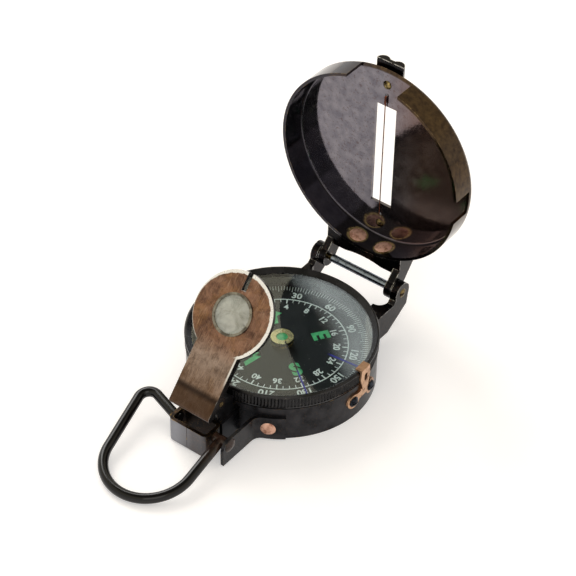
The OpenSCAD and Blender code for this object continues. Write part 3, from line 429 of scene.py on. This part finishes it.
def plate_skin(tree, side, up, clouds):
    """The patina: cloudy brown on the head, grey-brown on the neck, scratches, a darker band below the
    crease and a painted shadow in it.
    """
    on_head = add(tree, "MapRange", [up, NECK_END - 3 * MM, NECK_END + 2 * MM])
    gold = add(tree, "MapRange", [blotches(tree, 6.0, detail=8.0, roughness=0.7), 0.48, 0.62])
    pits = add(tree, "MapRange", [blotches(tree, 0.5, detail=4.0), 0.56, 0.70])
    foot = add(tree, "MapRange", [up, 8 * MM, 2 * MM, 0.0, 0.75])
    patchy = add(tree, "MapRange", [gold, 0.0, 1.0, 0.5, 1.0])
    head_skin = layered(tree, "46302a", (clouds, "98735f"), (overlap(tree, gold, 0.3), "a07444"))
    neck_skin = layered(tree, "5c4a40", (clouds, "a59084"), (overlap(tree, foot, patchy), "6a4c32"))
    drawn_out = add(tree, "Math", [up, HAIRLINE_W_TO_LENGTH], operation="MULTIPLY")
    stretched = add(tree, "CombineXYZ", [side, drawn_out])
    hairlines = add(tree, "TexNoise", {"Vector": stretched, "Scale": 1 / HAIRLINE_W, "Detail": 3.0})
    bright_lines = add(tree, "MapRange", [hairlines, 0.56, 0.68, 0.0, HAIRLINE_SHARE])
    dark_lines = add(tree, "MapRange", [hairlines, 0.44, 0.34, 0.0, HAIRLINE_SHARE])
    # A darker band below the crease, and a painted shadow in the crease itself.
    below_crease = add(tree, "MapRange", [up, CREASE_AT + 1.2 * MM, CREASE_AT - 0.4 * MM, 0.0, 0.8])
    from_crease = add(tree, "Math", [up, CREASE_AT], operation="SUBTRACT")
    from_crease = add(tree, "Math", [from_crease], operation="ABSOLUTE")
    crease_shadow = add(tree, "MapRange", [from_crease, *CREASE_SHADOW_SPAN])
    return layered(tree, neck_skin, (on_head, head_skin), (overlap(tree, pits, 0.35), "3a221a"),
                   (bright_lines, "c2a48c"), (dark_lines, "2c1c16"), (below_crease, "402d20"),
                   (overlap(tree, crease_shadow, 0.75), "1c1310"))


# %% [markdown]
# The patina, the filed border with its painted highlight and the black cut edge now go over one
# another. The light, rubbed clouds are a little duller than the dark patina between them, so the gloss
# follows the same clouds as the colour.

# %% Lens plate
def bronze():
    """Mottled bronze with a filed border that carries a painted highlight, and black cut edges."""
    material, tree = new_material("mottled_bronze")
    side, up = plate_place(tree)
    clouds = blotches(tree, 4.5, detail=10.0, roughness=0.72, distortion=0.4)
    clouds = add(tree, "MapRange", [clouds, 0.34, 0.64])
    facing = along(tree, (0, -math.sin(PLATE_SLOPE), math.cos(PLATE_SLOPE)), "Normal")
    facing = add(tree, "Math", [facing], operation="ABSOLUTE")
    filed_and_highlight = overlap(tree, filed_border(tree, side, up), add(tree, "MapRange", [facing, 0.75, 0.9]))
    rubbed_and_glinting = overlap(tree, worn_edges(tree, 0.2, 2.2, 0.44, 0.60), 0.7)
    bare_and_highlight = add(tree, "Math", [filed_and_highlight, rubbed_and_glinting], operation="MAXIMUM")
    cut_edge = add(tree, "MapRange", [facing, 0.5, 0.3])
    grain = add(tree, "Bump", {"Strength": 0.18, "Distance": 0.06 * MM,
                               "Height": blotches(tree, 0.8, detail=5.0)})
    # The near-white on the filed border and the rubbed edges is partly bare metal and partly a painted
    # highlight.
    shader = add(tree, "BsdfPrincipled", {
        "Base Color": layered(tree, plate_skin(tree, side, up, clouds), (bare_and_highlight, "f4f2ee"),
                              (cut_edge, "1c1716")),
        "Roughness": add(tree, "MapRange", [clouds, 0.0, 1.0, 0.20, 0.34]),
        "Metallic": add(tree, "MapRange", [bare_and_highlight, 0.0, 1.0, 0.9, 0.6]), "Normal": grain})
    add(tree, "OutputMaterial", [shader])
    return material


finish_with(["lens_plate"], bronze())


# %% [markdown]
# Rivets are bare copper, hammered flat by hand, with a thin brown oxide that makes them less like a
# mirror. The bezel spring is copper sheet that has tarnished in patches. The cap in the middle of the
# card is turned brass, the pins went brown with age, the rod between the hinge ears is polished steel,
# and the two screws are blued. All of them are the same kind of surface, a metal with stains and small
# dents, in other colours.

# %% Copper, brass and steel
STAIN_MM = 1.8
DENT_DEPTH = 0.1 * MM


def bare_metal(name, colour, tarnish, roughness, dent_mm=0.9, dents=0.3, tarnish_share=0.55, metallic=1.0):
    """Bare metal with tarnish in patches and a surface that tools have touched."""
    material, tree = new_material(name)
    stains = add(tree, "MapRange", [blotches(tree, STAIN_MM, detail=6.0), tarnish_share - 0.08,
                                    tarnish_share + 0.12])
    dented = add(tree, "Bump", {"Strength": dents, "Distance": DENT_DEPTH,
                                "Height": blotches(tree, dent_mm, detail=2.0)})
    shader = add(tree, "BsdfPrincipled", {
        "Base Color": layered(tree, colour, (stains, tarnish)), "Metallic": metallic, "Normal": dented,
        "Roughness": add(tree, "MapRange", [stains, 0.0, 1.0, roughness, roughness + 0.2])})
    add(tree, "OutputMaterial", [shader])
    return material


copper = bare_metal("hammered_copper", "e6b49a", "94604a", 0.42, metallic=0.4)
finish_with(["lid_rivets", "strap_rivet", "hinge_bracket_rivets"], copper)
nickel = bare_metal("dull_nickel", "8f8b82", "5a554c", 0.20, dents=0.1, tarnish_share=0.52)
finish_with(["lens_cell"], nickel)
sheet = bare_metal("tarnished_copper_sheet", "d0a684", "7a5640", 0.30, dents=0.15, tarnish_share=0.58)
finish_with(["bezel_spring"], sheet)
brass = bare_metal("turned_brass", "e6d6a4", "a48a52", 0.20, dents=0.04, tarnish_share=0.64)
finish_with(["pivot_cap", "pivot_post"], brass)
old_brass = bare_metal("browned_brass", "a08c5c", "2c2216", 0.24, dents=0.25, dent_mm=0.7,
                       tarnish_share=0.45)
finish_with(["hinge_pin", "lens_hinge_pin", "wire_pins"], old_brass)
rod_steel = bare_metal("polished_steel_rod", "8d97a3", "4a5058", 0.20, dents=0.03, tarnish_share=0.60)
finish_with(["hinge_spacer"], rod_steel)
blued_steel = bare_metal("blued_steel", "3b4048", "131317", 0.22, dents=0.05, tarnish_share=0.45)
finish_with(["spring_screws"], blued_steel)
plain_steel = bare_metal("plain_steel", "9a9ca0", "5c5d60", 0.35, dents=0.05)
finish_with(["bezel_snap_ring", "card_magnet"], plain_steel)


# %% [markdown]
# The thumb ring is steel wire with a thick, glossy black finish. A dark base with a low roughness gives
# the sharp white streaks along the wire; near the strap the finish has rubbed to brown.

# %% Thumb ring
def ring_black():
    """Glossy black over wire, rubbed brown near the strap."""
    material, tree = new_material("glossy_black_wire")
    near_strap = add(tree, "MapRange", [along(tree, (0, 1, 0)), -48 * MM, -37 * MM])
    to_the_right = add(tree, "MapRange", [along(tree, (1, 0, 0)), 0.0, 5 * MM])
    ragged = add(tree, "MapRange", [blotches(tree, 1.5), 0.3, 0.6])
    rub = overlap(tree, near_strap, to_the_right, ragged)
    shader = add(tree, "BsdfPrincipled", {
        "Base Color": layered(tree, "0b0909", (rub, "3d2a20")),
        "Roughness": add(tree, "MapRange", [blotches(tree, 3.0), 0.3, 0.7, 0.08, 0.18]),
        "Specular IOR Level": 0.32,
        "Normal": add(tree, "Bump", {"Strength": 0.08, "Distance": 0.05 * MM,
                                     "Height": blotches(tree, 1.2)})})
    add(tree, "OutputMaterial", [shader])
    return material


finish_with(["thumb_ring"], ring_black())


# %% [markdown]
# Clear glass bends and mirrors what is behind and before it. Blender's path tracer would leave the card
# under it in the dark, because lamp light rarely finds its way through two bent surfaces. So for rays
# that only ask whether a lamp is blocked, the glass is swapped for a plain transparent shader. Dust on
# the window and scratches in the lens don't let light through, so they lower the share that is clear.

# %% Glass, lens and jewel
SMEAR_MM = 9.0
DUST_SHARE = 0.22
DUST_RIM_SPAN = (12 * MM, 21 * MM)
HINGE_SIDE = (0.55, 0.83, 0)
HINGE_SIDE_SPAN = (9 * MM, 17 * MM)


def clear_glass(name, tint, roughness, haze, film=None):
    """Glass with a faint smear, which lets lamp light through. A film is a mask of what isn't clear."""
    material, tree = new_material(name)
    smear = add(tree, "MapRange", [blotches(tree, SMEAR_MM, detail=3.0), 0.35, 0.75, roughness,
                                   roughness + haze])
    glass = add(tree, "BsdfPrincipled", {"Base Color": linear(tint), "Roughness": smear, "IOR": 1.5,
                                         "Transmission Weight": 1.0})
    if film:
        clear = add(tree, "Math", [1.0, film(tree)], operation="SUBTRACT")
        tree.links.new(clear.outputs["Value"], glass.inputs["Transmission Weight"])
    through = add(tree, "BsdfTransparent", {"Color": linear(tint)})
    for_shadows = add(tree, "LightPath").outputs["Is Shadow Ray"]
    add(tree, "OutputMaterial", [add(tree, "MixShader", [for_shadows, glass, through])])
    return material


def dust_at_the_rim(tree):
    """Dust that lies thicker on the window towards the hinge side of its rim."""
    rim = add(tree, "MapRange", [from_upright_axis(tree), *DUST_RIM_SPAN])
    back = add(tree, "MapRange", [along(tree, HINGE_SIDE), *HINGE_SIDE_SPAN])
    wisps = add(tree, "MapRange", [blotches(tree, SMEAR_MM, detail=3.0), 0.3, 0.7, 0.7, 1.0])
    return overlap(tree, rim, back, wisps, DUST_SHARE)


def clouded_lens(tree):
    """Scratches and haze on an old lens."""
    scratches = blotches(tree, 3.5, detail=7.0, distortion=1.5)
    return add(tree, "MapRange", [scratches, 0.35, 0.65, 0.25, 0.6])


finish_with(["window_glass"], clear_glass("window_glass", "ecf4f4", 0.0, 0.01, dust_at_the_rim))
finish_with(["lens"], clear_glass("ground_lens_glass", "d2d0c2", 0.05, 0.12, clouded_lens))
finish_with(["pivot_jewel"], clear_glass("ruby_bearing", "a83a50", 0.05, 0.02))


# %% [markdown]
# The card is thin metal painted matt black, and its print is screen-printed paint: white for the scales
# and a pale green luminous paint for the letters. Paint is not metallic, and its thin film leaves a
# soft, slightly uneven surface. Specks of white dust lie on the black.

# %% Paints on the card
DUST_SPECK_MM = 0.55
DUST_SPECK_SPAN = (0.74, 0.78)
BLUE_SPAN = (14.5 * MM, 16 * MM)


def paint(name, colour, shade, roughness, patch_mm, dust=0.0, overpaint=None):
    """Matt paint that is a little uneven, with specks of white dust."""
    material, tree = new_material(name)
    uneven = add(tree, "MapRange", [blotches(tree, patch_mm, detail=5.0), 0.35, 0.70])
    specks = add(tree, "MapRange", [blotches(tree, DUST_SPECK_MM, detail=1.0), *DUST_SPECK_SPAN])
    skin = layered(tree, colour, (uneven, shade))
    if overpaint:
        skin = overpaint(tree, skin)
    shader = add(tree, "BsdfPrincipled", {
        "Base Color": layered(tree, skin, (overlap(tree, specks, dust), "b8b4aa")),
        "Specular IOR Level": 0.2,
        "Roughness": add(tree, "MapRange", [uneven, 0.0, 1.0, roughness, roughness + 0.15]),
        "Normal": add(tree, "Bump", {"Strength": 0.1, "Distance": 0.02 * MM,
                                     "Height": blotches(tree, 0.3)})})
    add(tree, "OutputMaterial", [shader])
    return material


def blue_beyond_the_scale(tree, skin):
    """The lines are black near the middle and blue from the inner numbers outwards."""
    outer = add(tree, "MapRange", [from_upright_axis(tree), *BLUE_SPAN])
    return layered(tree, skin, (outer, "24248c"))


card_black = paint("matt_black_card", "070709", "0e0d0b", 0.55, 8.0, dust=0.6)
print_white = paint("white_dial_print", "eceee9", "cdd0c8", 0.5, 0.8)
letter_green = paint("green_luminous_paint", "55bb78", "41a066", 0.5, 1.0)
line_blue = paint("black_and_blue_line", "08080c", "0c0c14", 0.4, 1.0, overpaint=blue_beyond_the_scale)
finish_with(["compass_card"], card_black)
finish_with(["dial_scale"], print_white)
finish_with(["cap_dot"], letter_green)
finish_with(["bearing_lines"], line_blue)


# %% [markdown]
# Fine print could be an image, but then it would blur close up and would need a flat map of the card.
# Letters made as thin solid shapes stay sharp. Blender's own font gives the outlines; a small outward
# offset makes them bold. Every mark is placed on the card by its radius and its bearing, clockwise from
# the card's north.

# %% Helpers for the print
# The card's north lies this many degrees anticlockwise from +Y, seen from above.
CARD_NORTH = 55.5
PRINT_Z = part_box("compass_card")[1][2]
# Real ink is thinner. This much keeps its top clear of the card's face.
PRINT_T = 0.06 * MM
# A capital's height as a share of the font's size.
CAPITAL_SHARE = 0.7


def on_card(radius_mm, bearing):
    """The matrix that stands a mark on the card at a radius and a bearing, with its top outwards."""
    turn = math.radians(CARD_NORTH - bearing)
    return Matrix.Rotation(turn, 4, "Z") @ Matrix.Translation((0, radius_mm * MM, PRINT_Z))


def lettering(words, height_mm, bold):
    """The mesh of some characters, centred, in metres, as a thin solid."""
    curve = bpy.data.curves.new("lettering", "FONT")
    curve.body = words
    curve.align_x = "CENTER"
    curve.align_y = "CENTER"
    curve.size = height_mm * MM / CAPITAL_SHARE
    curve.offset = bold * curve.size
    curve.extrude = PRINT_T / 2
    curve.resolution_u = 6
    carrier = bpy.data.objects.new("lettering", curve)
    mesh = bpy.data.meshes.new_from_object(carrier)
    bpy.data.objects.remove(carrier)
    mesh.transform(Matrix.Translation((0, 0, PRINT_T / 2)))
    return mesh


def cut_shape(corners):
    """The mesh of a flat outline in millimetres, as a thin solid."""
    maker = bmesh.new()
    face = maker.faces.new([maker.verts.new((x * MM, y * MM, 0)) for x, y in corners])
    for item in bmesh.ops.extrude_face_region(maker, geom=[face])["geom"]:
        if isinstance(item, bmesh.types.BMVert):
            item.co.z += PRINT_T
    bmesh.ops.recalc_face_normals(maker, faces=maker.faces)
    mesh = bpy.data.meshes.new("cut_shape")
    maker.to_mesh(mesh)
    maker.free()
    return mesh


def piece(name, meshes, material, body):
    """One object from meshes that each come with the matrix that puts them in place."""
    maker = bmesh.new()
    for mesh, matrix in meshes:
        placed = mesh.copy()
        placed.transform(matrix)
        maker.from_mesh(placed)
        bpy.data.meshes.remove(placed)
    joined = bpy.data.meshes.new(name)
    maker.to_mesh(joined)
    maker.free()
    joined.materials.clear()
    joined.materials.append(material)
    made = bpy.data.objects.new(name, joined)
    bpy.context.scene.collection.objects.link(made)
    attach(made, body)
    print(name, "has", len(joined.polygons), "faces")
    return made


# %% [markdown]
# The inner numbers count the 64 strokes of the white circle, and the outer ones are degrees, with a
# stroke for every second degree at the card's edge and a longer one for every tenth. All marks of a kind
# are joined into one object, because they are one layer of paint.

# %% Numbers and the degree scale
INNER_NUMBERS_R = 15.1
OUTER_NUMBERS_R = 20.2
INNER_NUMBERS_H = 1.85
OUTER_NUMBERS_H = 2.1
NUMBER_BOLD = 0.022
STROKES_ROUND = 64
STROKE_W = 0.16
STROKE_END_R = 23.9
LONG_STROKE_R = 21.7
SHORT_STROKE_R = 22.3

inner = [(lettering(str(number), INNER_NUMBERS_H, NUMBER_BOLD),
          on_card(INNER_NUMBERS_R, number * 360 / STROKES_ROUND))
         for number in range(4, STROKES_ROUND + 1, 4)]
outer = [(lettering(str(degrees), OUTER_NUMBERS_H, NUMBER_BOLD), on_card(OUTER_NUMBERS_R, degrees))
         for degrees in range(30, 361, 30)]
numbers = piece("card_numbers", inner + outer, print_white, "card")

strokes = []
for degrees in range(0, 360, 2):
    start = LONG_STROKE_R if degrees % 10 == 0 else SHORT_STROKE_R
    stroke = cut_shape([(-STROKE_W / 2, start), (STROKE_W / 2, start), (STROKE_W / 2, STROKE_END_R),
                        (-STROKE_W / 2, STROKE_END_R)])
    turn = Matrix.Rotation(math.radians(degrees), 4, "Z")
    strokes.append((stroke, turn @ Matrix.Translation((0, 0, PRINT_Z))))
scale = piece("degree_scale", strokes, print_white, "card")


# %% [markdown]
# The letters are bold capitals, and north is a broad arrow with a stem. E and S come from the font. The
# W is far wider than a font's, so it is drawn from four thick strokes, and the arrow from its outline.
# All of them take the place of the plain CAD shapes.

# %% Letters and the north arrow
ARROW_R = 11.2
E_R = 11.1
S_R = 10.8
W_R = 9.7
# The S is printed a little off its bearing.
S_BEARING = 178
LETTER_H = 4.5
LETTER_BOLD = 0.045
W_H = 5.2
W_STROKE = 1.65
ARROW = [(0, 3.9), (-3.8, 0.7), (-2.1, 0.0), (-1.6, -3.0), (1.6, -3.0), (2.1, 0.0), (3.8, 0.7)]


def wide_w():
    """Four strokes between a high line and a low line."""
    half_h, half_w = W_H / 2, W_STROKE / 2
    peaks = [(-5.0, half_h), (-2.6, -half_h), (0, half_h), (2.6, -half_h), (5.0, half_h)]
    return [cut_shape([(x0 - half_w, y0), (x0 + half_w, y0), (x1 + half_w, y1), (x1 - half_w, y1)])
            for (x0, y0), (x1, y1) in zip(peaks, peaks[1:])]


marks = [(cut_shape(ARROW), on_card(ARROW_R, 0)),
         (lettering("E", LETTER_H, LETTER_BOLD), on_card(E_R, 90)),
         (lettering("S", LETTER_H, LETTER_BOLD), on_card(S_R, S_BEARING))]
marks += [(stroke, on_card(W_R, 270)) for stroke in wide_w()]
letters = piece("printed_letters", marks, letter_green, "card")
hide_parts("card_letters")


# %% [markdown]
# The sighting wire is soft copper. At the top it is wound round itself a few times, the way picture
# wire is fastened. A tube is swept along a helix for the winding, and along a straight line for the
# sight itself.

# %% Sighting wire
WIRE_R = 0.16 * MM
TWIST_L = 2.6 * MM
TWIST_TURNS = 4
TWIST_STEPS = 16
TWIST_R = 1.4 * WIRE_R
TWIST_FROM_END = 0.6 * MM
SIGHT_FROM_END = 0.4 * MM


def tube(paths, radius, name, body, material):
    """A round wire along one or more lists of points."""
    curve = bpy.data.curves.new(name, "CURVE")
    curve.dimensions = "3D"
    curve.bevel_depth = radius
    curve.bevel_resolution = 3
    curve.use_fill_caps = True
    for path in paths:
        spline = curve.splines.new("POLY")
        spline.points.add(len(path) - 1)
        for point, place in zip(spline.points, path):
            point.co = (*place, 1)
    made = bpy.data.objects.new(name, curve)
    bpy.context.scene.collection.objects.link(made)
    mesh = bpy.data.meshes.new_from_object(made.evaluated_get(bpy.context.evaluated_depsgraph_get()))
    bpy.data.objects.remove(made)
    solid = bpy.data.objects.new(name, mesh)
    bpy.context.scene.collection.objects.link(solid)
    mesh.materials.clear()
    mesh.materials.append(material)
    for face in mesh.polygons:
        face.use_smooth = True
    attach(solid, body)
    return solid


wire_low, wire_high = (Vector(corner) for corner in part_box("sight_wire"))
wire_x = (wire_low.x + wire_high.x) / 2
wire_y = wire_low.y + WIRE_R * 2
straight = [(wire_x, wire_y, wire_low.z + SIGHT_FROM_END), (wire_x, wire_y, wire_high.z - SIGHT_FROM_END)]
winding = []
for step in range(TWIST_TURNS * TWIST_STEPS + 1):
    share = step / (TWIST_TURNS * TWIST_STEPS)
    angle = share * TWIST_TURNS * math.tau
    winding.append((wire_x + TWIST_R * math.cos(angle), wire_y + TWIST_R * math.sin(angle),
                    wire_high.z - TWIST_FROM_END - share * TWIST_L))
copper_wire = bare_metal("copper_wire", "7e4a36", "4a281c", 0.35, dents=0.05)
wire = tube([straight, winding], WIRE_R, "twisted_sight_wire", "lid", copper_wire)
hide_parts("sight_wire")
print("wire", round((wire_high.z - wire_low.z) / MM, 1), "mm long")


# %% [markdown]
# The table is a white sheet with the faint, warm unevenness of plaster. In the photograph its lit part
# is pure white and only the shadow shows its warm tone. So the sheet has a warm paint, and for rays
# from the camera, a mirror or glass it adds a little light of its own, which lifts the lit part to
# white and leaves the shadow.

# %% Table
TABLE_HALF = 2.5
LIFT = 0.34


def rays_that_look(tree):
    """1 for rays from the camera, a mirror or glass, and 0 for rays that gather light."""
    path = add(tree, "LightPath")
    seen = add(tree, "Math", [path.outputs["Is Camera Ray"], path.outputs["Is Glossy Ray"]],
               operation="MAXIMUM")
    return add(tree, "Math", [seen, path.outputs["Is Transmission Ray"]], operation="MAXIMUM")


def plaster():
    """Warm white, slightly cloudy, with a light of its own for rays that look."""
    material, tree = new_material("white_plaster_table")
    cloudy = add(tree, "MapRange", [blotches(tree, 40.0, detail=6.0), 0.3, 0.7])
    shader = add(tree, "BsdfPrincipled", {
        "Base Color": layered(tree, "f6efe6", (cloudy, "f1e8dc")), "Roughness": 0.8,
        "Emission Color": linear("fafcff"),
        "Emission Strength": add(tree, "Math", [rays_that_look(tree), LIFT], operation="MULTIPLY"),
        "Normal": add(tree, "Bump", {"Strength": 0.15, "Distance": 0.2 * MM,
                                     "Height": blotches(tree, 6.0, detail=6.0)})})
    add(tree, "OutputMaterial", [shader])
    return material


corners = [(-TABLE_HALF, -TABLE_HALF, 0), (TABLE_HALF, -TABLE_HALF, 0), (TABLE_HALF, TABLE_HALF, 0),
           (-TABLE_HALF, TABLE_HALF, 0)]
floor_mesh = bpy.data.meshes.new("table")
floor_mesh.from_pydata(corners, [], [(0, 1, 2, 3)])
floor_mesh.materials.append(plaster())
table = bpy.data.objects.new("table", floor_mesh)
bpy.context.scene.collection.objects.link(table)
print("table", 2 * TABLE_HALF, "m wide")


# %% [markdown]
# What the camera sees beyond the table is plain white. Metal and glass should mirror that same white
# room, so the world answers camera, mirror and glass rays with white, and lights the object more
# gently. A real room is darker overhead than at its walls, and black gloss looks black because of it.
# So the white turns cream up the walls and fades to grey at the ceiling.

# %% World
WALL_TOP = 0.72
CEILING_FROM = 0.93
CEILING_LIGHT = 0.18
ROOM_LIGHT = 0.66
world = bpy.data.worlds.new("white_room")
bpy.context.scene.world = world
world.use_nodes = True
tree = world.node_tree
tree.nodes.clear()
height = add(tree, "SeparateXYZ", [add(tree, "TexCoord").outputs["Generated"]]).outputs["Z"]
cream = layered(tree, "ffffff", (add(tree, "MapRange", [height, 0.2, 0.5]), "f4ecd4"))
fading = add(tree, "MapRange", [height, WALL_TOP, CEILING_FROM, 1.0, CEILING_LIGHT])
lit = add(tree, "Background", {"Color": linear("ffffff"), "Strength": ROOM_LIGHT})
shown = add(tree, "Background", {"Color": cream, "Strength": fading})
add(tree, "OutputWorld", [add(tree, "MixShader", [rays_that_look(tree), lit, shown])])
print("world", world.name, "lights at", ROOM_LIGHT)


# %% [markdown]
# The photograph was lit by a large window behind the object and to its left, which puts soft shadows on
# the right and long highlights on the left of every round edge. A big area lamp stands in for the
# window, and a weaker one on the camera's side fills the shadows.

# %% Lamps
LAMP_AIM = Vector((0, 0, 0.02))


def area_lamp(name, place, size, watts):
    """A square lamp that faces the object."""
    data = bpy.data.lights.new(name, "AREA")
    data.shape = "SQUARE"
    data.size = size
    data.energy = watts
    made = bpy.data.objects.new(name, data)
    bpy.context.scene.collection.objects.link(made)
    made.location = place
    made.rotation_euler = (LAMP_AIM - Vector(place)).to_track_quat("-Z", "Y").to_euler()
    print(name, watts, "W")


area_lamp("window", (-0.78, 0.28, 0.75), 0.6, 5.5)
area_lamp("fill", (0.6, -0.9, 0.9), 0.8, 2.5)
bpy.context.scene.view_settings.view_transform = "Standard"
